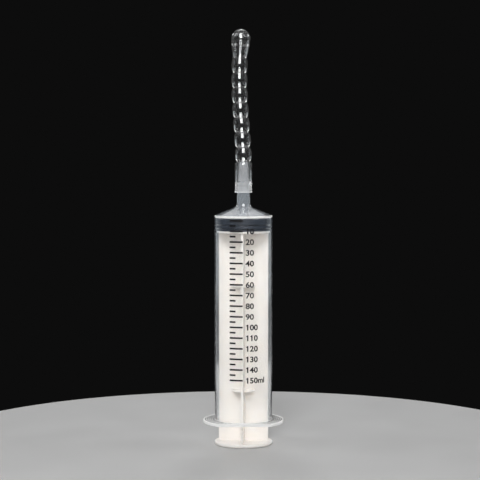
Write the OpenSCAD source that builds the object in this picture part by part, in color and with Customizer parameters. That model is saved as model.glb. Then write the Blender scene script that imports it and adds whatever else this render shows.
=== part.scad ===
// Large piston syringe with a catheter tip and a push-on beaded tube.
// It stands on its thumb rest with the tip up and the piston pushed home.
// Millimetres, +Z up, origin at the middle of the thumb rest's lower face.

/* [Barrel] */
// Inside diameter of the barrel
barrel_bore = 40.2; // [36:0.1:46]
// Wall thickness of the barrel
barrel_wall = 1.4; // [1:0.1:2.2]
// Length of the barrel from its open end to the rim of its shoulder
barrel_length = 155.4; // [145:0.2:170]
// Thickness of the end wall at the rim of the shoulder
shoulder_wall = 1.9; // [1.2:0.1:3]
// Slope of the shoulder cone, in degrees
shoulder_slope = 21.5; // [15:0.5:28]
// Width of the flat ledge inside the shoulder that stops the gasket
ledge_width = 1.0; // [0.6:0.1:1.6]

/* [Finger flange] */
// Diameter across the two wings
flange_d = 60.6; // [54:0.2:70]
// How far the flats at the front and back stand out from the barrel
flange_lip = 0.6; // [0.4:0.1:3]
// Thickness of the flange
flange_thickness = 2.3; // [1.5:0.1:4]

/* [Nozzle] */
// Diameter of the neck at its base above the shoulder
neck_d = 10; // [9:0.1:12]
// Diameter of the neck at its top
neck_top_d = 9.5; // [9:0.1:10.4]
// Height of the neck's top above the rim of the shoulder
neck_height = 17; // [14:0.5:22]
// Radius of the fillet between the shoulder and the neck
neck_fillet = 4; // [2:0.5:6]
// Height of the step between the neck and the base of the tip
tip_step = 0.25; // [0.1:0.05:0.5]
// Diameter of the tip at its free end
tip_end_d = 6.9; // [6:0.1:7.4]
// Length of the tapered tip
tip_length = 23; // [18:0.5:26]
// Wall thickness of the neck and the tip
nozzle_wall = 1.5; // [1:0.1:2]

/* [Plunger] */
// Diameter of the thumb rest
thumb_d = 43.4; // [38:0.2:50]
// Thickness of the thumb rest
thumb_thickness = 2.7; // [1.5:0.1:4]
// Gap for the fingers between the thumb rest and the flange with the piston home
finger_gap = 13.8; // [8:0.1:20]
// Clearance between the ribs and the bore
rib_clearance = 1.5; // [0.8:0.1:3]
// Thickness of the four ribs
rib_thickness = 1.8; // [1.2:0.1:3]
// Turn of the ribs from square to the scale, in degrees
rib_turn = -3.7; // [-10:0.1:10]
// Diameter of the round webs that stiffen the ribs
web_d = 17.4; // [10:0.2:24]
// Thickness of the round webs
web_thickness = 1.5; // [1:0.1:3]
// Height of the lower web above the thumb rest
web_first = 36.7; // [25:0.1:45]
// Distance between the webs
web_pitch = 78.8; // [60:0.1:85]
// Number of webs
web_count = 2; // [1:1:2]
// Height of the notch in the front and back ribs
notch_height = 2.3; // [1:0.1:4]
// Depth of the notch in the front and back ribs
notch_depth = 1.4; // [0.5:0.1:2.5]
// Distance of the notch below the finger flange
notch_below = 2.2; // [1:0.1:3]

/* [Piston head] */
// Clearance between the head disc and the bore
head_clearance = 0.4; // [0.2:0.05:0.8]
// Thickness of the head disc
head_thickness = 1.6; // [1.2:0.1:3]
// Diameter of the stem that the gasket snaps over
stem_d = 12; // [9:0.2:15]
// Length of the stem below its barb
stem_length = 2.4; // [1.6:0.1:3]
// Diameter of the barb that holds the gasket
barb_d = 17; // [15.2:0.2:20]
// Height of the barb
barb_height = 3.2; // [2.4:0.1:4]
// Clearance around the stem and the barb inside the gasket
stem_clearance = 0.1; // [0.05:0.01:0.2]

/* [Gasket] */
// Height of the rubber gasket
gasket_height = 9.2; // [8.8:0.1:12]
// Running clearance between the sealing ribs and the bore
seal_clearance = 0.05; // [0.02:0.01:0.1]
// Height of the wide sealing rib at the front
front_rib_height = 4.4; // [3.4:0.1:4.6]
// Height of each groove between the sealing ribs
groove_height = 0.9; // [0.6:0.1:1]
// Depth of the grooves between the sealing ribs
groove_depth = 0.9; // [0.5:0.1:1.5]
// Height of the middle sealing rib
middle_rib_height = 2.0; // [1:0.1:2.2]

/* [Graduation] */
// Volume at the last mark, in millilitres
full_volume = 150; // [100:10:150]
// Volume between two marks, in millilitres
mark_step = 5; // [5:5:10]
// Length of the long marks around the barrel
long_mark = 10; // [6:0.1:14]
// Length of the short marks around the barrel
short_mark = 4.6; // [3:0.1:6]
// Height of a mark
mark_height = 1.0; // [0.5:0.1:1.2]
// Thickness of the printed ink
ink = 0.1; // [0.06:0.01:0.2]
// Distance of the marks' left ends from the front line, around the barrel
mark_start = 10.6; // [8:0.1:16]

/* [Beaded tube] */
// Number of beads
bead_count = 7; // [4:1:9]
// Length of one bead
bead_pitch = 11.05; // [9:0.05:13]
// Diameter of the lowest bead
bead_low_d = 12.3; // [11:0.1:14]
// Diameter of the highest bead
bead_high_d = 11.6; // [10.6:0.1:14]
// Wall thickness of the sleeve and the hollow beads
tube_wall = 0.9; // [0.6:0.1:1.3]
// Diameter of the sleeve over the nozzle
cuff_d = 12.8; // [12.2:0.1:15]
// Length of the sleeve up to the first waist
cuff_length = 22.5; // [19:0.5:26]
// How far the mouth of the sleeve flares out
cuff_flare = 0.2; // [0.1:0.05:1]
// Height of the flared mouth
cuff_mouth_height = 2; // [1:0.5:8]
// Height over which the sleeve grips the base of the tip
grip_height = 4.5; // [3:0.5:7]
// Height over which the bore of the sleeve opens above the grip
grip_opening = 3; // [1:0.5:5]
// Clearance between the sleeve and the base of the tip
tip_clearance = 0.05; // [0.03:0.01:0.1]
// Clearance between the waists' bore and the end of the tip
waist_clearance = 0.15; // [0.1:0.05:0.3]
// Diameter of the bulb at the end of the tube
bulb_d = 13.9; // [12.4:0.1:17]
// Length of the bulb from the last waist to its widest ring
bulb_low = 14; // [10:0.5:18]
// Length of the round end of the bulb
bulb_high = 7.3; // [6:0.1:11]
// Diameter of the outlet holes
outlet_d = 1.6; // [1:0.1:2]
// Number of outlet holes in each ring
outlet_count = 8; // [3:1:8]
// Turn of the outlet holes round the bulb, in degrees
outlet_turn = -10.5; // [-20:0.5:20]
// Distance of the lower ring of outlet holes below the widest ring of the bulb
outlet_low = 4.5; // [3:0.1:6]
// Distance of the upper ring of outlet holes above the widest ring of the bulb
outlet_high = 2.8; // [1:0.1:3.2]
// Lean of the tube above the nozzle, in degrees
lean = 3.9; // [0:0.1:5]
// Lean of the bulb the other way, in degrees
bulb_lean = 3.4; // [0:0.1:5]

/* [Hidden] */

$fn = 96;
arc_steps = 6;

// Barrel sizes that follow from the driving dimensions
bore_r = barrel_bore / 2;
barrel_r = bore_r + barrel_wall;
slope = tan(shoulder_slope);
edge_round = 0.6;
thumb_round = 0.45 * thumb_thickness;

// Heights above the resting face
flange_z = thumb_thickness + finger_gap;
rim_z = flange_z + barrel_length;
ledge_z = rim_z - shoulder_wall;
gasket_z = ledge_z - gasket_height;
head_z = gasket_z - head_thickness;
neck_z = rim_z + neck_height;
tip_z = neck_z + tip_length;

// Base of the tapered tip
tip_base_d = neck_top_d - 2 * tip_step;

// The volume of one millimetre of bore sets the spacing of the marks
ml_per_mm = PI * bore_r * bore_r / 1000;
zero_z = ledge_z - 1.05;
mark_count = full_volume / mark_step;

// Points of an arc in the r-z half plane
function arc(centre, r, from, to) =
    [for (i = [0:arc_steps])
        let (a = from + (to - from) * i / arc_steps)
        centre + r * [cos(a), sin(a)]];

// Outline of a round plate of radius r from z0 to z1 with rounded rims, from its axis
function plate_outline(r, z0, z1, round) =
    concat([[0, z0]],
           arc([r - round, z0 + round], round, -90, 0),
           arc([r - round, z1 - round], round, 0, 90),
           [[0, z1]]);

// Outer radius of the shoulder cone is a straight line in height
function shoulder_z(r) = rim_z + (barrel_r - r) * slope;

// The fillet between the cone and the neck is tangent to both
fillet_r = neck_d / 2 + neck_fillet;
fillet_z = shoulder_z(fillet_r) + neck_fillet / cos(shoulder_slope);

// Closed outline of the barrel, with its shoulder, neck and tip
function barrel_outline() =
    let (ledge_r = bore_r - ledge_width,
         neck_bore = neck_top_d / 2 - nozzle_wall,
         tip_bore = tip_end_d / 2 - nozzle_wall,
         tip_round = nozzle_wall / 2)
    concat([[bore_r, flange_z], [barrel_r, flange_z]],
           arc([barrel_r - edge_round, rim_z - edge_round * tan(45 - shoulder_slope / 2)],
               edge_round, 0, 90 - shoulder_slope),
           arc([fillet_r, fillet_z], neck_fillet, 270 - shoulder_slope, 180),
           [[neck_top_d / 2, neck_z], [tip_base_d / 2, neck_z]],
           arc([tip_end_d / 2 - tip_round, tip_z - tip_round], tip_round, 0, 90),
           [[tip_bore, tip_z],
            [neck_bore, neck_z],
            [neck_bore, ledge_z + (ledge_r - neck_bore) * slope],
            [ledge_r, ledge_z],
            [bore_r, ledge_z]]);

// Round finger flange with flats at the front and the back
module finger_flange() {
    difference() {
        intersection() {
            rotate_extrude()
                polygon(plate_outline(flange_d / 2, flange_z, flange_z + flange_thickness, edge_round));
            translate([-flange_d, -barrel_r - flange_lip, flange_z - 1])
                cube([2 * flange_d, 2 * (barrel_r + flange_lip), flange_thickness + 2]);
        }
        translate([0, 0, flange_z - 1])
            cylinder(r = bore_r + barrel_wall / 2, h = flange_thickness + 2);
    }
}

module barrel() {
    color([0.80, 0.86, 0.90, 0.45])
        union() {
            rotate_extrude()
                polygon(barrel_outline());
            finger_flange();
        }
}

// One printed mark: a strip of ink wrapped on the barrel, its left end on a common line
module mark(z, length) {
    degrees_per_mm = 180 / (PI * barrel_r);
    rotate([0, 0, 270 - mark_start * degrees_per_mm])
        rotate_extrude(angle = length * degrees_per_mm)
            translate([barrel_r, z - mark_height / 2])
                square([ink, mark_height]);
}

module graduation_marks() {
    color([0.03, 0.03, 0.04])
        for (i = [0:mark_count])
            mark(zero_z - i * mark_step / ml_per_mm,
                 i * mark_step % 10 == 0 ? long_mark : short_mark);
}

// Stem and barb that the gasket snaps over, grown by a clearance for the gasket's pocket
module snap_stem(grow) {
    stem_r = stem_d / 2 + grow;
    barb_r = barb_d / 2 + grow;
    barb_z = gasket_z + stem_length;
    rotate_extrude()
        polygon([[0, head_z + head_thickness / 2],
                 [stem_r, head_z + head_thickness / 2],
                 [stem_r, barb_z - grow],
                 [barb_r, barb_z + barb_height / 4 - grow],
                 [barb_r, barb_z + barb_height / 2 + grow],
                 [stem_r, barb_z + barb_height + grow],
                 [0, barb_z + barb_height + grow]]);
}

// Two crossed plates make the four ribs
module ribs() {
    rib_r = bore_r - rib_clearance;
    low = thumb_thickness / 2;
    height = head_z + head_thickness / 2 - low;
    for (turn = [0, 90])
        rotate([0, 0, turn])
            translate([-rib_r, -rib_thickness / 2, low])
                cube([2 * rib_r, rib_thickness, height]);
}

// Notches in the outer edges of the front and back ribs, just below the flange
module rib_notches() {
    rib_r = bore_r - rib_clearance;
    for (side = [-1, 1])
        translate([-rib_thickness, side * rib_r - notch_depth, flange_z - notch_below - notch_height])
            cube([2 * rib_thickness, 2 * notch_depth, notch_height]);
}

module plunger_rod() {
    color([0.94, 0.93, 0.91])
        union() {
            rotate_extrude()
                polygon(plate_outline(thumb_d / 2, 0, thumb_thickness, thumb_round));
            rotate([0, 0, rib_turn])
                difference() {
                    ribs();
                    rib_notches();
                }
            for (i = [0:web_count - 1])
                translate([0, 0, thumb_thickness + web_first + i * web_pitch])
                    cylinder(d = web_d, h = web_thickness);
            translate([0, 0, head_z])
                cylinder(r = bore_r - head_clearance, h = head_thickness);
            snap_stem(0);
        }
}

// Outline of the gasket: three sealing ribs with two grooves between them
function gasket_outline() =
    let (seal_r = bore_r - seal_clearance,
         groove_r = seal_r - groove_depth,
         front = ledge_z - front_rib_height,
         middle = front - groove_height - middle_rib_height)
    [[0, gasket_z],
     [seal_r - edge_round, gasket_z],
     [seal_r, gasket_z + edge_round],
     [seal_r, middle - groove_height],
     [groove_r, middle - groove_height],
     [groove_r, middle],
     [seal_r, middle],
     [seal_r, middle + middle_rib_height],
     [groove_r, middle + middle_rib_height],
     [groove_r, front],
     [seal_r, front],
     [seal_r, ledge_z - edge_round],
     [seal_r - edge_round, ledge_z],
     [0, ledge_z]];

module piston_gasket() {
    color([0.10, 0.11, 0.13])
        difference() {
            rotate_extrude()
                polygon(gasket_outline());
            snap_stem(stem_clearance);
        }
}

// The tube is a row of straight hollow beads, each turned a little from the one below it.
// Its waists clear the end of the tip.
waist_r = tip_end_d / 2 + waist_clearance + tube_wall;
bead_base_z = neck_z + cuff_length;
waist_gap = 0.2;
bead_steps = 8;
bead_fullness = 2.8;
bulb_fullness = 0.55;
bead_end_r = waist_r - 0.15;
lean_course = [[0, -lean], [3, -lean], [bead_count, bulb_lean]];

function bead_lean(i) = lookup(i, lean_course);
function bead_axis(i) = [sin(bead_lean(i)), 0, cos(bead_lean(i))];
function waist_at(i) = i == 0 ? [0, 0, bead_base_z] : waist_at(i - 1) + bead_pitch * bead_axis(i - 1);
function bead_r(i) = (bead_low_d + (bead_high_d - bead_low_d) * i / (bead_count - 1)) / 2;

// Outline of one bead between two waists: full in the middle and drawn in at both ends.
// An inset gives its inside.
function bead_outline(r, inset) =
    let (length = bead_pitch - 2 * waist_gap)
    concat([[0, waist_gap]],
           [for (k = [0:bead_steps])
               let (t = k / bead_steps)
               [bead_end_r - inset + (r - bead_end_r) * (1 - pow(abs(2 * t - 1), bead_fullness)),
                waist_gap + length * t]],
           [[0, bead_pitch - waist_gap]]);

// Outline of the bulb: it widens from the waist and ends in half an ellipse
function bulb_outline(inset) =
    let (r = bulb_d / 2)
    concat([[0, waist_gap]],
           [for (k = [0:bead_steps])
               let (t = k / bead_steps)
               [bead_end_r - inset + (r - bead_end_r) * pow(t, bulb_fullness),
                waist_gap + (bulb_low - waist_gap) * t]],
           [for (k = [1:bead_steps])
               let (a = 90 * k / bead_steps)
               [k == bead_steps ? 0 : (r - inset) * cos(a), bulb_low + (bulb_high - inset) * sin(a)]]);

// Outline of the sleeve over the nozzle, with its flared mouth and rounded top
function cuff_outline() =
    let (round = cuff_d / 2 - bead_end_r)
    concat([[0, neck_z],
            [cuff_d / 2 + cuff_flare, neck_z],
            [cuff_d / 2 + cuff_flare, neck_z + cuff_mouth_height / 4],
            [cuff_d / 2, neck_z + cuff_mouth_height]],
           arc([bead_end_r, bead_base_z - waist_gap - round], round, 0, 90),
           [[0, bead_base_z - waist_gap]]);

// Puts a shape on bead number i, with its lower waist at the origin and its axis along +Z
module on_bead(i) {
    translate(waist_at(i))
        rotate([0, bead_lean(i), 0])
            rotate([0, 0, outlet_turn])
                children();
}

// Bore of the sleeve: it grips the base of the tip, opens above it and closes in to the first waist
module sleeve_bore() {
    grip_r = tip_base_d / 2 + tip_clearance;
    sleeve_r = cuff_d / 2 - tube_wall;
    end_r = bead_end_r - tube_wall;
    round = sleeve_r - end_r;
    top = bead_base_z - waist_gap;
    rotate_extrude()
        polygon(concat([[0, neck_z - 1],
                        [grip_r, neck_z - 1],
                        [grip_r, neck_z + grip_height],
                        [sleeve_r, neck_z + grip_height + grip_opening]],
                       arc([end_r, top - round], round, 0, 90),
                       [[0, top]]));
}

// The row of beads and the bulb, joined by balls at the waists. An inset gives its inside.
module bead_row(inset) {
    for (i = [0:bead_count])
        translate(waist_at(i))
            sphere(r = waist_r - inset);
    for (i = [0:bead_count - 1])
        on_bead(i)
            rotate_extrude()
                polygon(bead_outline(bead_r(i), inset));
    on_bead(bead_count)
        rotate_extrude()
            polygon(bulb_outline(inset));
}

// Two rings of outlet holes in the bulb
module outlet_holes() {
    on_bead(bead_count)
        for (height = [bulb_low - outlet_low, bulb_low + outlet_high])
            for (i = [0:outlet_count - 1])
                rotate([0, 0, (i + 0.5) * 360 / outlet_count])
                    translate([0, 0, height])
                        rotate([0, 90, 0])
                            cylinder(d = outlet_d, h = bulb_d, $fn = 32);
}

module beaded_tube() {
    color([0.88, 0.90, 0.92, 0.35])
        difference() {
            union() {
                rotate_extrude()
                    polygon(cuff_outline());
                bead_row(0);
            }
            sleeve_bore();
            bead_row(tube_wall);
            outlet_holes();
        }
}

plunger_rod();
piston_gasket();
barrel();
graduation_marks();
beaded_tube();
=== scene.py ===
import math

import bpy
from mathutils import Matrix, Vector


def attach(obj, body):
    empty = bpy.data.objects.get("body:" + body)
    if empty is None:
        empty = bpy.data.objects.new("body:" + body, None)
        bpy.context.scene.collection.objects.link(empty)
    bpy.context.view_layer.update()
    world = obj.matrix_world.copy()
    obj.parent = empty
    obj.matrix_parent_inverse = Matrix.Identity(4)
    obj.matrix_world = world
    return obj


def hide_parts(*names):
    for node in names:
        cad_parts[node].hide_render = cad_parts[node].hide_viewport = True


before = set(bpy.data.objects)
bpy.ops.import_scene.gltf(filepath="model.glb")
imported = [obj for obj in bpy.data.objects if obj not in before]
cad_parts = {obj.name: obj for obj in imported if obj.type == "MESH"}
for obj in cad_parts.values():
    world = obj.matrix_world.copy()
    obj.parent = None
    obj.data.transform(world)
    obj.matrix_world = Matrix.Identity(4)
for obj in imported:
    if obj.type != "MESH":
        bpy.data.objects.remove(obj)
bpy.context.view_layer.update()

# Plunger rod: one white polypropylene moulding that the syringe stands on. Four
# ribs join the round thumb rest to the head disc, two small round webs stiffen
# them, and a barbed stem on the head disc holds the rubber gasket.
MM = 0.001
THUMB_R, THUMB_THICK, THUMB_ROUND = 21.7, 2.7, 1.2
BORE_R, HEAD_CLEARANCE, RIB_CLEARANCE = 20.1, 0.4, 1.5
HEAD_R, HEAD_LOW, HEAD_THICK = BORE_R - HEAD_CLEARANCE, 159.2, 1.6
HEAD_TOP = HEAD_LOW + HEAD_THICK
RIB_R, RIB_HALF, RIB_FILLET, RIB_EDGE, RIB_TURN = BORE_R - RIB_CLEARANCE, 0.9, 0.8, 0.3, -3.7
WEB_R, WEB_THICK, WEB_FIRST, WEB_PITCH, WEB_COUNT = 8.7, 1.5, 36.7, 78.8, 2
NOTCH_LOW, NOTCH_HEIGHT, NOTCH_DEPTH = 12.0, 2.3, 1.4
STEM_R, STEM_ROOT, STEM_HEIGHT, BARB_R, BARB_HEIGHT = 6.0, 0.5, 2.4, 8.5, 3.2
BARB_LOW = HEAD_TOP + STEM_HEIGHT
BARB_TOP = BARB_LOW + BARB_HEIGHT
PLATE_EDGE, ROUND_STEPS, SHARP_ANGLE, WELD = 0.3, 128, 35, 1e-7


def arc(centre, radius, start, end, steps=6):
    """Points of an arc, with its angles in degrees."""
    turn = [math.radians(start + (end - start) * i / steps) for i in range(steps + 1)]
    return [(centre[0] + radius * math.cos(a), centre[1] + radius * math.sin(a)) for a in turn]


def wire(name, points):
    """A closed wire through points in millimetres, shaped from a circle."""
    bpy.ops.object.select_all(action="DESELECT")
    bpy.ops.mesh.primitive_circle_add(vertices=len(points), radius=MM)
    piece = bpy.context.object
    piece.name = piece.data.name = name
    for vertex, point in zip(piece.data.vertices, points):
        vertex.co = Vector(point) * MM
    return piece


def close_mesh():
    """Merges the doubled points of the mesh in edit mode and turns its faces outwards."""
    bpy.ops.mesh.select_all(action="SELECT")
    bpy.ops.mesh.remove_doubles(threshold=WELD)
    bpy.ops.mesh.delete_loose()
    bpy.ops.mesh.select_all(action="SELECT")
    bpy.ops.mesh.normals_make_consistent(inside=False)
    bpy.ops.object.mode_set(mode="OBJECT")


def lathe(name, outline, steps=ROUND_STEPS):
    """Spins a closed outline of radii and heights round the upright axis."""
    piece = wire(name, [(r, 0, z) for r, z in outline])
    bpy.ops.object.mode_set(mode="EDIT")
    bpy.ops.mesh.select_all(action="SELECT")
    bpy.ops.mesh.spin(steps=steps, angle=math.tau, center=(0, 0, 0), axis=(0, 0, 1))
    close_mesh()
    return piece


def plate(name, radius, low, top, edge=PLATE_EDGE):
    """A round plate with rounded rims."""
    rim = arc((radius - edge, low + edge), edge, -90, 0) + arc((radius - edge, top - edge), edge, 0, 90)
    return lathe(name, [(0, low)] + rim + [(0, top)])


def prism(name, points, low, top):
    """A straight bar with the given plan."""
    piece = wire(name, [(x, y, low) for x, y in points])
    bpy.ops.object.mode_set(mode="EDIT")
    bpy.ops.mesh.select_all(action="SELECT")
    bpy.ops.mesh.edge_face_add()
    bpy.ops.mesh.extrude_region_move(TRANSFORM_OT_translate={"value": (0, 0, (top - low) * MM)})
    close_mesh()
    return piece


def combine(piece, tool, operation):
    """Joins a tool shape to a piece, or cuts it out of the piece, and removes the tool."""
    change = piece.modifiers.new(operation, "BOOLEAN")
    change.operation, change.object, change.solver = operation, tool, "EXACT"
    bpy.ops.object.select_all(action="DESELECT")
    bpy.context.view_layer.objects.active = piece
    bpy.ops.object.modifier_apply(modifier=change.name)
    bpy.data.objects.remove(tool)


def smooth(piece, degrees=SHARP_ANGLE):
    """Shades a piece smooth except at edges sharper than the angle."""
    bpy.ops.object.select_all(action="DESELECT")
    piece.select_set(True)
    bpy.context.view_layer.objects.active = piece
    bpy.ops.object.shade_smooth_by_angle(angle=math.radians(degrees))


rib_plan = []
for quarter in range(4):
    turn = Matrix.Rotation(math.radians(90 * quarter + RIB_TURN), 2)
    arm = arc((RIB_HALF + RIB_FILLET, -RIB_HALF - RIB_FILLET), RIB_FILLET, 180, 90)
    arm += arc((RIB_R - RIB_EDGE, -RIB_HALF + RIB_EDGE), RIB_EDGE, -90, 0)
    arm += arc((RIB_R - RIB_EDGE, RIB_HALF - RIB_EDGE), RIB_EDGE, 0, 90)
    rib_plan += [tuple(turn @ Vector(point)) for point in arm]
plunger = prism("plunger_rod_moulding", rib_plan, THUMB_THICK / 2, (HEAD_LOW + HEAD_TOP) / 2)
for side in (-90, 90):
    turn = math.radians(side + RIB_TURN)
    notch_place = (RIB_R * math.cos(turn), RIB_R * math.sin(turn), NOTCH_LOW + NOTCH_HEIGHT / 2)
    bpy.ops.object.select_all(action="DESELECT")
    bpy.ops.mesh.primitive_cube_add(
        size=1, location=Vector(notch_place) * MM, rotation=(0, 0, math.radians(RIB_TURN)))
    notch = bpy.context.object
    notch.scale = Vector((3 * RIB_HALF, 2 * NOTCH_DEPTH, NOTCH_HEIGHT)) * MM
    combine(plunger, notch, "DIFFERENCE")
combine(plunger, plate("thumb_rest", THUMB_R, 0, THUMB_THICK, THUMB_ROUND), "UNION")
for i in range(WEB_COUNT):
    low = THUMB_THICK + WEB_FIRST + WEB_PITCH * i
    combine(plunger, plate("web", WEB_R, low, low + WEB_THICK), "UNION")
combine(plunger, plate("head_disc", HEAD_R, HEAD_LOW, HEAD_TOP), "UNION")
barb_step = BARB_HEIGHT / 4
stem_outline = [
    (0, HEAD_TOP - STEM_ROOT), (STEM_R, HEAD_TOP - STEM_ROOT), (STEM_R, BARB_LOW),
    (BARB_R, BARB_LOW + barb_step), (BARB_R, BARB_LOW + 2 * barb_step), (STEM_R, BARB_TOP), (0, BARB_TOP)]
combine(plunger, lathe("snap_stem", stem_outline), "UNION")
smooth(plunger)


def add_socket(group, name, default=None):
    """Adds a number to a node group: an input, or an output where no default is given."""
    side = "OUTPUT" if default is None else "INPUT"
    socket = group.interface.new_socket(name, in_out=side, socket_type="NodeSocketFloat")
    if default is not None:
        socket.default_value = default


def set_inputs(node, amounts):
    """Sets the inputs of a node by their names."""
    for name, amount in amounts.items():
        node.inputs[name].default_value = amount


# The skin of a moulded part: a slow drift of tone, a roughness that follows it,
# and a fine unevenness for the bump.
GRAIN_SHARE, RELIEF_DEPTH, PLASTIC_IOR = 0.3, 0.1, 1.49
moulded_skin = bpy.data.node_groups.new("moulded_skin", "ShaderNodeTree")
add_socket(moulded_skin, "Drift Scale", 60.0)
add_socket(moulded_skin, "Grain Scale", 900.0)
add_socket(moulded_skin, "Smoothest", 0.3)
add_socket(moulded_skin, "Roughest", 0.4)
add_socket(moulded_skin, "Tone")
add_socket(moulded_skin, "Roughness")
add_socket(moulded_skin, "Height")
skin = moulded_skin.nodes
skin_in, skin_out = skin.new("NodeGroupInput"), skin.new("NodeGroupOutput")
place = skin.new("ShaderNodeTexCoord")
drift, grain = skin.new("ShaderNodeTexNoise"), skin.new("ShaderNodeTexNoise")
set_inputs(drift, {"Detail": 3.0})
set_inputs(grain, {"Detail": 2.0})
spread = skin.new("ShaderNodeMapRange")
set_inputs(spread, {"From Min": 0.3, "From Max": 0.7})
layers = skin.new("ShaderNodeMath")
layers.operation = "MULTIPLY_ADD"
layers.inputs[1].default_value = GRAIN_SHARE
join = moulded_skin.links.new
join(place.outputs["Object"], drift.inputs["Vector"])
join(place.outputs["Object"], grain.inputs["Vector"])
join(skin_in.outputs["Drift Scale"], drift.inputs["Scale"])
join(skin_in.outputs["Grain Scale"], grain.inputs["Scale"])
join(drift.outputs["Fac"], spread.inputs["Value"])
join(skin_in.outputs["Smoothest"], spread.inputs["To Min"])
join(skin_in.outputs["Roughest"], spread.inputs["To Max"])
join(grain.outputs["Fac"], layers.inputs[0])
join(drift.outputs["Fac"], layers.inputs[2])
join(drift.outputs["Fac"], skin_out.inputs["Tone"])
join(spread.outputs["Result"], skin_out.inputs["Roughness"])
join(layers.outputs["Value"], skin_out.inputs["Height"])


def finish_material(name, dark, light, smoothest, roughest, drift_scale, grain_scale, bump):
    """A material with two close tones and an uneven gloss, and its Principled node."""
    material = bpy.data.materials.new(name)
    material.use_nodes = True
    nodes, links = material.node_tree.nodes, material.node_tree.links
    shader = nodes["Principled BSDF"]
    surface = nodes.new("ShaderNodeGroup")
    surface.node_tree = moulded_skin
    set_inputs(surface, {"Drift Scale": drift_scale, "Grain Scale": grain_scale,
                         "Smoothest": smoothest, "Roughest": roughest})
    tone = nodes.new("ShaderNodeMix")
    tone.data_type = "RGBA"
    set_inputs(tone, {"A": (*dark, 1), "B": (*light, 1)})
    relief = nodes.new("ShaderNodeBump")
    set_inputs(relief, {"Strength": bump, "Distance": RELIEF_DEPTH * MM})
    links.new(surface.outputs["Tone"], tone.inputs["Factor"])
    links.new(tone.outputs["Result"], shader.inputs["Base Color"])
    links.new(surface.outputs["Roughness"], shader.inputs["Roughness"])
    links.new(surface.outputs["Height"], relief.inputs["Height"])
    links.new(relief.outputs["Normal"], shader.inputs["Normal"])
    return material, shader


white_plastic, shader = finish_material(
    "white polypropylene", dark=(0.86, 0.82, 0.78), light=(0.92, 0.88, 0.84),
    smoothest=0.34, roughest=0.46, drift_scale=45, grain_scale=1200, bump=0.15)
set_inputs(shader, {"IOR": PLASTIC_IOR, "Subsurface Weight": 0.4, "Subsurface Radius": (1.2, 1.1, 1.0),
                    "Subsurface Scale": 2.5 * MM})
plunger.data.materials.append(white_plastic)
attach(plunger, "plunger")
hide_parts("plunger_rod")

# Piston gasket: black moulded rubber, snapped over the barb of the plunger's stem.
# A wide front rib and two narrow ribs press into the bore with no air between, and
# the flat face meets the ledge inside the barrel's shoulder.
GASKET_HEIGHT, RIB_SQUEEZE, GROOVE_DEPTH = 9.2, 0.05, 1.0
GASKET_TOP, SEAL_R = HEAD_TOP + GASKET_HEIGHT, BORE_R + RIB_SQUEEZE
GROOVE_R = SEAL_R - GROOVE_DEPTH
RUBBER_EDGE, FACE_EDGE, STEM_GAP = 0.25, 0.7, 0.1
# Lower and upper heights of the three ribs above the head disc.
RIB_BANDS = ((0, 1.0), (1.9, 3.9), (4.8, GASKET_HEIGHT))
gasket_outline = [(STEM_R + STEM_GAP, HEAD_TOP)]
for low, top in RIB_BANDS:
    edge = FACE_EDGE if top == GASKET_HEIGHT else RUBBER_EDGE
    gasket_outline += [(GROOVE_R, HEAD_TOP + low)] if low > 0 else []
    gasket_outline += arc((SEAL_R - RUBBER_EDGE, HEAD_TOP + low + RUBBER_EDGE), RUBBER_EDGE, -90, 0)
    gasket_outline += arc((SEAL_R - edge, HEAD_TOP + top - edge), edge, 0, 90)
    gasket_outline += [(GROOVE_R, HEAD_TOP + top)] if top < GASKET_HEIGHT else []
gasket_outline += [
    (0, GASKET_TOP), (0, BARB_TOP + STEM_GAP), (STEM_R + STEM_GAP, BARB_TOP + STEM_GAP),
    (BARB_R + STEM_GAP, BARB_LOW + 2 * barb_step + STEM_GAP),
    (BARB_R + STEM_GAP, BARB_LOW + barb_step - STEM_GAP), (STEM_R + STEM_GAP, BARB_LOW - STEM_GAP)]
gasket = lathe("piston_gasket_rubber", gasket_outline)
smooth(gasket)
black_rubber, shader = finish_material(
    "black rubber", dark=(0.022, 0.030, 0.044), light=(0.030, 0.039, 0.055),
    smoothest=0.42, roughest=0.58, drift_scale=90, grain_scale=1500, bump=0.25)
gasket.data.materials.append(black_rubber)
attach(gasket, "gasket")
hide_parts("piston_gasket")

# Barrel: one moulding of natural polypropylene. Its thin wall is clear, the shoulder
# cone, the neck and the tapered tip are milky, and the finger flange with its two flats is
# satin with fine rings on its wings. Thick edges and rims are white, with a painted glow
# for light scattered through them, and lines on the wing rings are painted highlights.
BARREL_WALL, MOUTH_CHAMFER, FOOT_FILLET, BARREL_STEPS = 1.4, 0.3, 0.3, 192
BARREL_R = BORE_R + BARREL_WALL
FINGER_GAP, FLANGE_THICK, FLANGE_LIP, FLANGE_R, FLANGE_EDGE = 13.8, 2.3, 0.6, 30.28, 0.7
FLANGE_LOW, FLANGE_FLAT = THUMB_THICK + FINGER_GAP, BARREL_R + FLANGE_LIP
FLANGE_TOP = FLANGE_LOW + FLANGE_THICK
RING_COUNT, RING_STEPS, RING_DEPTH, RING_FIRST, RING_LAST = 4, 4, 0.2, 23.4, 29.2
LEDGE, LEDGE_R, SHOULDER_WALL, SLOPE = GASKET_TOP, 19.1, 1.9, 21.5
RIM, RIM_EDGE, WHITE_RIM = LEDGE + SHOULDER_WALL, 0.6, 1.4
RIM_BAND = RIM - WHITE_RIM
SHOULDER_HEIGHT, NECK_R, NECK_TOP_R, NECK_FILLET = 17.0, 5.0, 4.75, 4.0
TIP_LENGTH, TIP_STEP, TIP_END_R, TIP_WALL, TIP_EDGE = 23.0, 0.25, 3.45, 1.5, 0.5
NECK_TOP, TIP_BASE_R = RIM + SHOULDER_HEIGHT, NECK_TOP_R - TIP_STEP
TIP_TOP = NECK_TOP + TIP_LENGTH
BORE_FILLET, BORE_FILLET_LIFT = 1.5, 0.6
rise = math.tan(math.radians(SLOPE))
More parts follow.
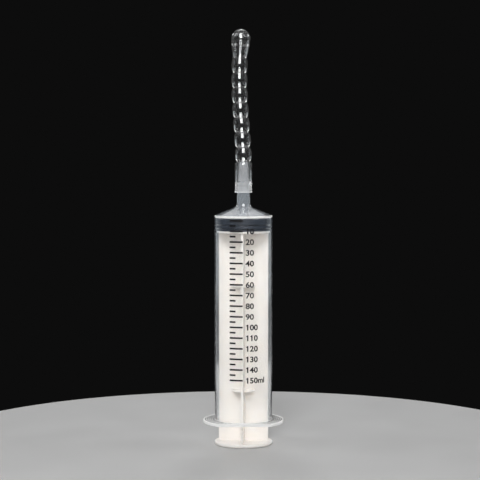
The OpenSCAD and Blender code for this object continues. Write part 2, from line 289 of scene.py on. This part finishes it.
fillet_r = NECK_R + NECK_FILLET
fillet_z = RIM + (BARREL_R - fillet_r) * rise + NECK_FILLET / math.cos(math.radians(SLOPE))
rim_z = RIM - RIM_EDGE * math.tan(math.radians(45 - SLOPE / 2))
neck_bore, tip_bore = NECK_TOP_R - TIP_WALL, TIP_END_R - TIP_WALL
bore_fillet_z = LEDGE + (LEDGE_R - neck_bore) * rise + BORE_FILLET_LIFT
wing_rings = []
for i in range(RING_STEPS * RING_COUNT + 1):
    share = i / (RING_STEPS * RING_COUNT)
    dip = RING_DEPTH * (1 - math.cos(math.tau * RING_COUNT * share)) / 2
    wing_rings.append((RING_LAST + (RING_FIRST - RING_LAST) * share, FLANGE_TOP - dip))
barrel_outline = [(BORE_R + MOUTH_CHAMFER, FLANGE_LOW)]
barrel_outline += arc((FLANGE_R - FLANGE_EDGE, FLANGE_LOW + FLANGE_EDGE), FLANGE_EDGE, -90, 0)
barrel_outline += arc((FLANGE_R - FLANGE_EDGE, FLANGE_TOP - FLANGE_EDGE), FLANGE_EDGE, 0, 90)
barrel_outline += wing_rings
barrel_outline += arc((BARREL_R + FOOT_FILLET, FLANGE_TOP + FOOT_FILLET), FOOT_FILLET, 270, 180, steps=4)
barrel_outline += [(BARREL_R, RIM_BAND)]
barrel_outline += arc((BARREL_R - RIM_EDGE, rim_z), RIM_EDGE, 0, 90 - SLOPE, steps=8)
barrel_outline += arc((fillet_r, fillet_z), NECK_FILLET, 270 - SLOPE, 180, steps=14)
barrel_outline += [(NECK_TOP_R, NECK_TOP), (TIP_BASE_R, NECK_TOP)]
barrel_outline += arc((TIP_END_R - TIP_EDGE, TIP_TOP - TIP_EDGE), TIP_EDGE, 0, 90)
barrel_outline += [(tip_bore, TIP_TOP), (neck_bore, NECK_TOP)]
barrel_outline += arc((neck_bore + BORE_FILLET, bore_fillet_z), BORE_FILLET, 180, 270 - SLOPE)
barrel_outline += [(LEDGE_R, LEDGE), (BORE_R, LEDGE), (BORE_R, FLANGE_LOW + MOUTH_CHAMFER)]
barrel = lathe("barrel_moulding", barrel_outline, BARREL_STEPS)
for side in (-1, 1):
    bpy.ops.object.mode_set(mode="EDIT")
    bpy.ops.mesh.select_all(action="SELECT")
    bpy.ops.mesh.bisect(plane_co=(0, side * FLANGE_FLAT * MM, 0), plane_no=(0, side, 0),
                        use_fill=True, clear_outer=True, threshold=WELD)
    close_mesh()
smooth(barrel)

CLEAR_GRAIN = 700


def clear_material(name, dark, light, smoothest, roughest, clear, passed, drift_scale, bump):
    """A see-through plastic. Lamps shine through its wall, less what the wall takes."""
    material, shader = finish_material(
        name, dark, light, smoothest, roughest, drift_scale, CLEAR_GRAIN, bump)
    set_inputs(shader, {"IOR": PLASTIC_IOR, "Transmission Weight": clear})
    nodes, links = material.node_tree.nodes, material.node_tree.links
    lamp_path = nodes.new("ShaderNodeLightPath")
    let_through = nodes.new("ShaderNodeBsdfTransparent")
    set_inputs(let_through, {"Color": (passed, passed, passed, 1)})
    either = nodes.new("ShaderNodeMixShader")
    links.new(lamp_path.outputs["Is Shadow Ray"], either.inputs["Fac"])
    links.new(shader.outputs["BSDF"], either.inputs[1])
    links.new(let_through.outputs["BSDF"], either.inputs[2])
    links.new(either.outputs["Shader"], nodes["Material Output"].inputs["Surface"])
    return material, shader


wall_plastic, shader = clear_material(
    "clear polypropylene wall", dark=(0.995, 1.0, 1.0), light=(1.0, 1.0, 1.0),
    smoothest=0.06, roughest=0.10, clear=0.996, passed=1.0, drift_scale=40, bump=0.02)
# The wall bends light less than real polypropylene, so that the plunger shows brightly through it.
set_inputs(shader, {"IOR": 1.42, "Sheen Weight": 0.05, "Sheen Roughness": 0.6,
                    "Sheen Tint": (0.85, 0.92, 1.0, 1)})
milky_plastic, shader = clear_material(
    "milky polypropylene", dark=(0.66, 0.70, 0.74), light=(0.70, 0.74, 0.78),
    smoothest=0.12, roughest=0.16, clear=0.84, passed=0.95, drift_scale=30, bump=0.01)
set_inputs(shader, {"Coat Weight": 1.0, "Coat Roughness": 0.03, "Coat IOR": 2.0})
tip_plastic, shader = clear_material(
    "tip polypropylene", dark=(0.70, 0.71, 0.725), light=(0.74, 0.75, 0.765),
    smoothest=0.12, roughest=0.16, clear=0.76, passed=0.95, drift_scale=30, bump=0.01)
# Opaque white for thick edges and rims: the white of thick plastic with a painted glow for light
# scattered through it. It also paints the highlight lines on the wing rings and the foot of the wall.
thick_plastic_and_glow, shader = clear_material(
    "thick polypropylene with painted glow", dark=(0.93, 0.93, 0.92), light=(0.96, 0.96, 0.95),
    smoothest=0.25, roughest=0.35, clear=0.0, passed=0.60, drift_scale=60, bump=0.02)
satin_plastic, shader = clear_material(
    "satin polypropylene", dark=(0.95, 0.96, 0.97), light=(0.97, 0.98, 0.99),
    smoothest=0.14, roughest=0.20, clear=0.95, passed=0.95, drift_scale=60, bump=0.02)
barrel_finishes = (wall_plastic, milky_plastic, satin_plastic, thick_plastic_and_glow, tip_plastic)
for material in barrel_finishes:
    barrel.data.materials.append(material)
# Painted white: a line on each ring of the wings as a painted highlight, the edges of the
# wings and the flats and the rim of the shoulder, white where thick and whiter still with a
# painted glow for light scattered through them, and the foot of the wall, painted light
# over the shade in its corner.
FLANGE_ROOT, WING_EDGE, RING_HIGHLIGHT_SHARE, NEAR, HAIR = 0.2, 0.8, 0.26, 0.01, 0.001
for face in barrel.data.polygons:
    x, y, z = face.center / MM
    r = math.hypot(x, y)
    in_flange = r > BARREL_R + FLANGE_ROOT
    ring_place = (r - RING_FIRST) / (RING_LAST - RING_FIRST) * RING_COUNT % 1
    on_wing_top = in_flange and z > FLANGE_TOP - RING_DEPTH - NEAR and r > RING_FIRST
    on_ring_highlight = on_wing_top and ring_place < RING_HIGHLIGHT_SHARE
    at_wing_edge = r > FLANGE_R - WING_EDGE
    at_flat = abs(y) > FLANGE_FLAT - NEAR
    at_foot = HAIR < r - BARREL_R < FOOT_FILLET and 0 < z - FLANGE_TOP < FOOT_FILLET
    at_rim = z > RIM_BAND and r > BARREL_R - RIM_EDGE
    # Painted highlights and painted glow take the white finish.
    if on_ring_highlight or at_wing_edge or at_flat or at_foot or at_rim:
        finish = thick_plastic_and_glow
    elif z > NECK_TOP:
        finish = tip_plastic
    elif in_flange:
        finish = satin_plastic
    else:
        finish = milky_plastic if z > LEDGE - NEAR else wall_plastic
    face.material_index = barrel_finishes.index(finish)
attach(barrel, "barrel")
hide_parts("barrel")

# Marks of the printed scale: black ink screened on to the front of the barrel, a
# mark every 5 ml with long ones every 10 ml. The volume of the bore sets their spacing.
INK_R, INK_THICK, MARK_HEIGHT, MARK_CUTS = BARREL_R, 0.1, 1.25, 7
MARK_START, LONG_MARK, SHORT_MARK = -10.6, 10.0, 4.6
ZERO_DROP, ML_PER_MM = 1.05, math.pi * BORE_R ** 2 / 1000
ZERO_Z = LEDGE - ZERO_DROP
MARK_STEP, LONG_STEP, FULL_ML = 5, 10, 150
black_ink, shader = finish_material(
    "printed ink", dark=(0.008, 0.008, 0.010), light=(0.016, 0.016, 0.018),
    smoothest=0.35, roughest=0.5, drift_scale=300, grain_scale=2500, bump=0.1)
set_inputs(shader, {"Specular IOR Level": 0.2})


def wrap(piece):
    """Bends a flat print round the barrel, from widths, depths and heights in millimetres."""
    for vertex in piece.data.vertices:
        along, depth, z = vertex.co
        angle = along / INK_R
        r = (INK_R + depth) * MM
        vertex.co = (r * math.sin(angle), -r * math.cos(angle), z * MM)
    piece.data.update()


def gather(name, pieces):
    """Joins pieces into one with the given name."""
    bpy.ops.object.select_all(action="DESELECT")
    for piece in pieces:
        piece.select_set(True)
    bpy.context.view_layer.objects.active = pieces[0]
    bpy.ops.object.join()
    pieces[0].name = pieces[0].data.name = name
    return pieces[0]


def strip(length, height, along, z, slope=0):
    """A thin bar of ink on the barrel, by the place of its middle and its slope in degrees."""
    bpy.ops.object.select_all(action="DESELECT")
    bpy.ops.mesh.primitive_cube_add(size=1)
    bar = bpy.context.object
    bpy.ops.object.mode_set(mode="EDIT")
    bpy.ops.transform.resize(value=(length, INK_THICK, height))
    bpy.ops.transform.rotate(value=math.radians(slope), orient_axis="Y", center_override=(0, 0, 0))
    bpy.ops.transform.translate(value=(along, INK_THICK / 2, z))
    bpy.ops.mesh.subdivide(number_cuts=MARK_CUTS)
    bpy.ops.object.mode_set(mode="OBJECT")
    wrap(bar)
    bpy.ops.object.mode_set(mode="EDIT")
    close_mesh()
    return bar


marks = []
for ml in range(0, FULL_ML + 1, MARK_STEP):
    length = SHORT_MARK if ml % LONG_STEP else LONG_MARK
    marks.append(strip(length, MARK_HEIGHT, MARK_START + length / 2, ZERO_Z - ml / ML_PER_MM))
scale_marks = gather("scale_marks", marks)
scale_marks.data.materials.append(black_ink)
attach(scale_marks, "barrel")
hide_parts("graduation_marks")

# Numerals of the printed scale: plain figures in the same black ink beside the long
# marks, with ml after the last. Each is set as text, made a mesh and bent round the
# barrel, and a short slanted bar gives each figure 1 its flag.
NUMERAL_START, NUMERAL_HEIGHT, NUMERAL_STRETCH = 1.5, 4.0, 1.1
FIGURE_TOP, FIGURE_STEP, FIGURE_CURVE, FIGURE_BOLD = 0.7, 0.5, 4, 0.028
FIGURE_HALF, FIGURE_DEPTH, FIGURE_LIFT = 0.01, 0.06, 4
ONE_EDGE, FLAG_LENGTH, FLAG_HEIGHT, FLAG_SLOPE, FLAG_DROP = 0.17, 1.5, 0.6, 40, 0.55
tall = NUMERAL_HEIGHT / FIGURE_TOP
wide = tall * NUMERAL_STRETCH
numerals = []
for ml in range(LONG_STEP, FULL_ML + 1, LONG_STEP):
    figures = f"{ml}ml" if ml == FULL_ML else str(ml)
    top = ZERO_Z - ml / ML_PER_MM + NUMERAL_HEIGHT / 2
    bpy.ops.object.select_all(action="DESELECT")
    bpy.ops.object.text_add()
    words = bpy.context.object.data
    words.body, words.resolution_u = figures, FIGURE_CURVE
    words.extrude, words.offset = FIGURE_HALF, FIGURE_BOLD
    bpy.ops.object.convert(target="MESH")
    numeral = bpy.context.object
    for vertex in numeral.data.vertices:
        x, y, lift = vertex.co
        depth, z = FIGURE_DEPTH + FIGURE_LIFT * lift, top + (y - FIGURE_TOP) * tall
        vertex.co = (NUMERAL_START + x * wide, depth, z)
    wrap(numeral)
    numerals.append(numeral)
    for i, figure in enumerate(figures):
        if figure == "1":
            along = NUMERAL_START + (FIGURE_STEP * i + ONE_EDGE) * wide
            numerals.append(strip(FLAG_LENGTH, FLAG_HEIGHT, along, top - FLAG_DROP, FLAG_SLOPE))
scale_numerals = gather("scale_numerals", numerals)
bpy.ops.object.mode_set(mode="EDIT")
close_mesh()
scale_numerals.data.materials.append(black_ink)
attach(scale_numerals, "barrel")

# Beaded tube: one thin-walled moulding of clear soft plastic. A plain sleeve grips the
# base of the nozzle's tip and looks milky there, a row of hollow beads lets the tube
# bend, and a closed bulb ends it, with two rings of small outlet holes.
CUFF_R, CUFF_FLARE, CUFF_MOUTH, CUFF_LIP, CUFF_EDGE = 6.4, 0.2, 2.0, 0.7, 0.25
GRIP_STRAIGHT, GRIP_OPENING, GRIP_TOP, GRIP_RINGS, TIP_GAP = 4.5, 3.0, 10.0, 24, 0.05
SLEEVE_LENGTH, BEAD_COUNT, BEAD_PITCH, BEAD_FULLNESS, BEAD_STEPS = 22.5, 7, 11.05, 2.8, 24
BEAD_LOW_R, BEAD_HIGH_R, WAIST_R, WAIST_TURN, TUBE_WALL, TUBE_STEPS = 6.15, 5.8, 4.5, 86, 0.9, 96
BULB_R, BULB_LOW, BULB_HIGH, BULB_FULLNESS = 6.95, 14.0, 7.26, 0.55
OUTLET_R, OUTLET_DROP, OUTLET_LIFT, OUTLET_COUNT, OUTLET_TURN = 0.8, 4.5, 2.8, 8, -10.5
DRILL_PLACE, DRILL_STEPS, TUBE_SHARP_ANGLE = 0.8, 24, 40
BEAD_BASE = NECK_TOP + SLEEVE_LENGTH
bulb_base = BEAD_BASE + BEAD_PITCH * BEAD_COUNT


def bead_row(inset):
    """Radii and heights of the beads and the bulb, drawn in by an inset for the inside."""
    points = []
    waist, widest_z = WAIST_R - inset, bulb_base + BULB_LOW
    for bead in range(BEAD_COUNT):
        swell = BEAD_LOW_R + (BEAD_HIGH_R - BEAD_LOW_R) * bead / (BEAD_COUNT - 1) - WAIST_R
        for i in range(BEAD_STEPS):
            share = i / BEAD_STEPS
            full = 1 - abs(2 * share - 1) ** BEAD_FULLNESS
            points.append((waist + swell * full, BEAD_BASE + BEAD_PITCH * (bead + share)))
    for i in range(BEAD_STEPS):
        share = i / BEAD_STEPS
        full = share ** BULB_FULLNESS
        points.append((waist + (BULB_R - WAIST_R) * full, bulb_base + BULB_LOW * share))
    for i in range(BEAD_STEPS):
        a = math.pi / 2 * i / BEAD_STEPS
        points.append(((BULB_R - inset) * math.cos(a), widest_z + (BULB_HIGH - inset) * math.sin(a)))
    return points + [(0, widest_z + BULB_HIGH - inset)]


grip_bore, sleeve_bore, waist_bore = TIP_BASE_R + TIP_GAP, CUFF_R - TUBE_WALL, WAIST_R - TUBE_WALL
lip_r, inner_bend = CUFF_R + CUFF_FLARE, sleeve_bore - waist_bore
tube_outline = [(grip_bore, NECK_TOP)]
tube_outline += arc((lip_r - CUFF_EDGE, NECK_TOP + CUFF_EDGE), CUFF_EDGE, -90, 0, steps=4)
tube_outline += [(lip_r, NECK_TOP + CUFF_LIP), (CUFF_R, NECK_TOP + CUFF_MOUTH)]
tube_outline += arc((WAIST_R, BEAD_BASE - CUFF_R + WAIST_R), CUFF_R - WAIST_R, 0, WAIST_TURN, steps=10)
tube_outline += bead_row(0) + bead_row(TUBE_WALL)[::-1]
tube_outline += arc((waist_bore, BEAD_BASE - inner_bend), inner_bend, WAIST_TURN, 0, steps=8)
for i in range(GRIP_RINGS):
    height = GRIP_TOP * (1 - i / GRIP_RINGS)
    opened = min(1, max(0, (height - GRIP_STRAIGHT) / GRIP_OPENING))
    tube_outline.append((grip_bore + (sleeve_bore - grip_bore) * opened, NECK_TOP + height))
tube = lathe("beaded_tube_moulding", tube_outline, TUBE_STEPS)
clear_soft, shader = clear_material(
    "clear soft plastic", dark=(0.95, 0.96, 0.97), light=(0.97, 0.98, 0.98),
    smoothest=0.02, roughest=0.05, clear=0.996, passed=0.95, drift_scale=120, bump=0.05)
set_inputs(shader, {"IOR": 1.54, "Coat Weight": 1.0, "Coat Roughness": 0.02, "Coat IOR": 2.0,
                    "Sheen Weight": 0.08, "Sheen Roughness": 0.5})
gripped_soft, shader = clear_material(
    "gripped soft plastic", dark=(0.76, 0.77, 0.78), light=(0.86, 0.87, 0.88),
    smoothest=0.3, roughest=0.5, clear=0.90, passed=0.92, drift_scale=350, bump=0.2)
set_inputs(shader, {"Sheen Weight": 0.3, "Sheen Roughness": 0.4})
# Whiter soft plastic for the band at the cuff's mouth: the thick lip, whiter still as a painted highlight
# for its bright rim.
mouth_soft, shader = clear_material(
    "thick soft plastic with painted glow", dark=(0.88, 0.89, 0.90), light=(0.93, 0.94, 0.95),
    smoothest=0.4, roughest=0.6, clear=0.2, passed=0.7, drift_scale=350, bump=0.2)
cut_soft, shader = clear_material(
    "cut soft plastic", dark=(0.82, 0.83, 0.84), light=(0.88, 0.89, 0.90),
    smoothest=0.4, roughest=0.6, clear=0.6, passed=0.7, drift_scale=350, bump=0.2)
tube_finishes = (clear_soft, gripped_soft, mouth_soft, cut_soft)
for material in tube_finishes:
    tube.data.materials.append(material)
drills = []
for height in (BULB_LOW - OUTLET_DROP, BULB_LOW + OUTLET_LIFT):
    for i in range(OUTLET_COUNT):
        turn = math.radians(360 / OUTLET_COUNT * (i + 0.5) + OUTLET_TURN)
        reach = DRILL_PLACE * BULB_R
        drill_place = (reach * math.cos(turn), reach * math.sin(turn), bulb_base + height)
        bpy.ops.object.select_all(action="DESELECT")
        bpy.ops.mesh.primitive_cylinder_add(
            vertices=DRILL_STEPS, radius=OUTLET_R * MM, depth=BULB_R * MM,
            location=Vector(drill_place) * MM, rotation=(0, math.pi / 2, turn))
        drill = bpy.context.object
        for material in tube_finishes:
            drill.data.materials.append(material)
        for face in drill.data.polygons:
            face.material_index = tube_finishes.index(cut_soft)
        drills.append(drill)
combine(tube, gather("outlet_drills", drills), "DIFFERENCE")

# The slight bend of the tube: it leans to the left up to its fourth bead and then
# turns steadily, so that the bulb leans to the right.
LEAN, BULB_LEAN, LEAN_END = 3.9, 3.4, 3
AXIS_STEP, AXIS_SPARE = 0.05, 30


def bead_at(height):
    """Bead number at a height along the straight tube, counted at the beads' middles."""
    return (height - BEAD_BASE) / BEAD_PITCH - 0.5


def tube_lean(height):
    """The lean of the tube's axis in radians at a height along the straight tube."""
    bead = bead_at(height)
    if bead <= LEAN_END:
        return -math.radians(LEAN) * min(1, max(0, bead + 0.5))
    share = min(1, (bead - LEAN_END) / (BEAD_COUNT - LEAN_END))
    return math.radians(-LEAN + (LEAN + BULB_LEAN) * share)


axis_points = [Vector((0, 0))]
for i in range(int((bulb_base + AXIS_SPARE - BEAD_BASE) / AXIS_STEP)):
    lean = tube_lean(BEAD_BASE + (i + 0.5) * AXIS_STEP)
    axis_points.append(axis_points[-1] + AXIS_STEP * Vector((math.sin(lean), math.cos(lean))))
for vertex in tube.data.vertices:
    x, y, z = vertex.co / MM
    if z > BEAD_BASE:
        near = (z - BEAD_BASE) / AXIS_STEP
        i = int(near)
        middle = axis_points[i].lerp(axis_points[i + 1], near - i)
        lean = tube_lean(z)
        bent_x, bent_z = middle.x + x * math.cos(lean), BEAD_BASE + middle.y - x * math.sin(lean)
        vertex.co = Vector((bent_x, y, bent_z)) * MM
tube.data.update()
smooth(tube, TUBE_SHARP_ANGLE)
GRIP_EDGE, GRIP_SLANT, GRIP_WAVE, GRIP_WAVES = 7.6, 1.3, 0.5, 5
GRIP_DEPTH, MOUTH_BAND = 0.1, 0.5
for face in tube.data.polygons:
    x, y, z = face.center / MM
    r, turn, height = math.hypot(x, y), math.atan2(y, x), z - NECK_TOP
    grip_edge = GRIP_EDGE + GRIP_SLANT * math.cos(turn) + GRIP_WAVE * math.sin(GRIP_WAVES * turn)
    # The band at the mouth is painted whiter, a painted highlight on its rim.
    if height < MOUTH_BAND:
        face.material_index = tube_finishes.index(mouth_soft)
    elif r < sleeve_bore + GRIP_DEPTH and height < grip_edge:
        face.material_index = tube_finishes.index(gripped_soft)
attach(tube, "tube")
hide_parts("beaded_tube")

# Studio: a plain pale round table, large soft lamps round the syringe, and a dark
# room behind it that the clear plastic shows.
TABLE_R, TABLE_STEPS = 0.25, 128
bpy.ops.object.select_all(action="DESELECT")
bpy.ops.mesh.primitive_circle_add(
    vertices=TABLE_STEPS, radius=TABLE_R, fill_type="NGON", location=(0, 0, 0))
floor = bpy.context.object
floor.name = "floor"
floor_paint, shader = finish_material(
    "pale table", dark=(0.47, 0.47, 0.47), light=(0.51, 0.51, 0.51),
    smoothest=0.5, roughest=0.6, drift_scale=20, grain_scale=400, bump=0.02)
floor.data.materials.append(floor_paint)


def softbox(name, aim, distance, side, height, size, watts, shows):
    """A rectangular soft lamp that faces a point, placed by its distance from it and its angles
    from the front and above the level. It shows on matt faces, in gloss or through clear walls."""
    side, height = math.radians(side), math.radians(height)
    level = math.cos(height)
    way = Vector((math.sin(side) * level, -math.cos(side) * level, math.sin(height)))
    lamp = bpy.data.lights.new(name, "AREA")
    lamp.shape, lamp.energy = "RECTANGLE", watts
    lamp.size, lamp.size_y = size
    # A lamp for matt faces alone is sampled directly, so that it also lights those in the barrel.
    lamp.cycles.use_multiple_importance_sampling = shows != "matt"
    holder = bpy.data.objects.new(name, lamp)
    bpy.context.scene.collection.objects.link(holder)
    holder.location = Vector(aim) + distance * way
    holder.rotation_euler = (-way).to_track_quat("-Z", "Y").to_euler()
    holder.visible_camera = False
    holder.visible_diffuse = "matt" in shows
    holder.visible_glossy = "gloss" in shows
    holder.visible_transmission = "clear" in shows
    return lamp


FOOT, UPPER_BARREL, SHOULDER = (0, 0, 0.02), (0, 0, 0.16), (0, 0, 0.175)
MIDDLE, BEADS, BULB = (0, 0, 0.20), (0, 0, 0.25), (0, 0, 0.30)
FRONT_LAMP_HEIGHTS, BEAD_LAMP_SPREAD, PANEL_COLOUR = (19.3, 38.0, 56.7), 60, (0.92, 1.0, 1.05)
for lamp_height in FRONT_LAMP_HEIGHTS:
    softbox("front lamp", MIDDLE, distance=1.4, side=0, height=lamp_height,
            size=(0.85, 0.46), watts=4.9, shows="gloss clear")
softbox("key lamp", UPPER_BARREL, distance=0.8, side=-6, height=38,
        size=(0.2, 0.2), watts=3.4, shows="matt")
softbox("low front lamp", MIDDLE, distance=1.4, side=0, height=-36,
        size=(0.85, 0.85), watts=9.1, shows="gloss")
softbox("front fill", MIDDLE, distance=1.4, side=0, height=6,
        size=(0.3, 0.9), watts=4.1, shows="matt")
bead_lamp = softbox("bead lamp", BEADS, distance=0.25, side=0, height=-60,
                    size=(0.15, 0.13), watts=0.023, shows="gloss")
bead_lamp.spread = math.radians(BEAD_LAMP_SPREAD)
for hand in (1, -1):
    softbox("side fill", MIDDLE, distance=1.4, side=92 * hand, height=15,
            size=(0.8, 0.8), watts=5, shows="matt")
    softbox("bead panel", BULB, distance=1.5, side=150 * hand, height=12,
            size=(0.8, 0.8), watts=0.07, shows="matt gloss clear")
    barrel_panel = softbox("barrel panel", FOOT, distance=1.5, side=125 * hand, height=0,
                           size=(1.1, 0.30), watts=0.6, shows="matt gloss clear")
    barrel_panel.color = PANEL_COLOUR
    softbox("low back lamp", BEADS, distance=3.2, side=139 * hand, height=-20.5,
            size=(0.9, 0.84), watts=11, shows="matt gloss")
softbox("dome panel", BULB, distance=1.5, side=180, height=42,
        size=(1.2, 0.9), watts=1.5, shows="matt gloss")
softbox("dome strip", BULB, distance=1.5, side=180, height=56,
        size=(0.7, 0.2), watts=2.2, shows="matt gloss")
softbox("cone lamp", SHOULDER, distance=0.9, side=180, height=45,
        size=(0.06, 0.3), watts=0.08, shows="matt gloss")
softbox("back fill", MIDDLE, distance=1.389, side=180, height=30.26,
        size=(1.0, 1.0), watts=10, shows="matt")
ROOM_LIGHT, ROOM_SEEN = (0.15, 0.15, 0.15, 1), (0.004, 0.004, 0.004, 1)
room = bpy.data.worlds.new("room")
bpy.context.scene.world = room
room.use_nodes = True
nodes, links = room.node_tree.nodes, room.node_tree.links
set_inputs(nodes["Background"], {"Color": ROOM_LIGHT})
dark_room = nodes.new("ShaderNodeBackground")
set_inputs(dark_room, {"Color": ROOM_SEEN})
ray = nodes.new("ShaderNodeLightPath")
seen = nodes.new("ShaderNodeMath")
seen.operation = "ADD"
seen_through = nodes.new("ShaderNodeMath")
seen_through.operation = "ADD"
seen_through.use_clamp = True
choice = nodes.new("ShaderNodeMixShader")
links.new(ray.outputs["Is Camera Ray"], seen.inputs[0])
links.new(ray.outputs["Is Glossy Ray"], seen.inputs[1])
links.new(seen.outputs["Value"], seen_through.inputs[0])
links.new(ray.outputs["Is Transmission Ray"], seen_through.inputs[1])
links.new(seen_through.outputs["Value"], choice.inputs["Fac"])
links.new(nodes["Background"].outputs["Background"], choice.inputs[1])
links.new(dark_room.outputs["Background"], choice.inputs[2])
links.new(choice.outputs["Shader"], nodes["World Output"].inputs["Surface"])

# Camera: level with the lower beads of the tube and looking slightly down. Its long
# lens keeps the sides of the barrel nearly parallel.
LENS, SENSOR, CAMERA_PLACE, CAMERA_DOWN = 122.0, 36.0, (-0.0026, -1.212, 0.2315), 3.687
view = bpy.data.cameras.new("camera")
view.lens, view.sensor_width = LENS, SENSOR
camera = bpy.data.objects.new("camera", view)
bpy.context.scene.collection.objects.link(camera)
camera.location = CAMERA_PLACE
camera.rotation_euler = (math.radians(90 - CAMERA_DOWN), 0, 0)
bpy.context.scene.camera = camera
bpy.context.scene.view_settings.view_transform = "Standard"
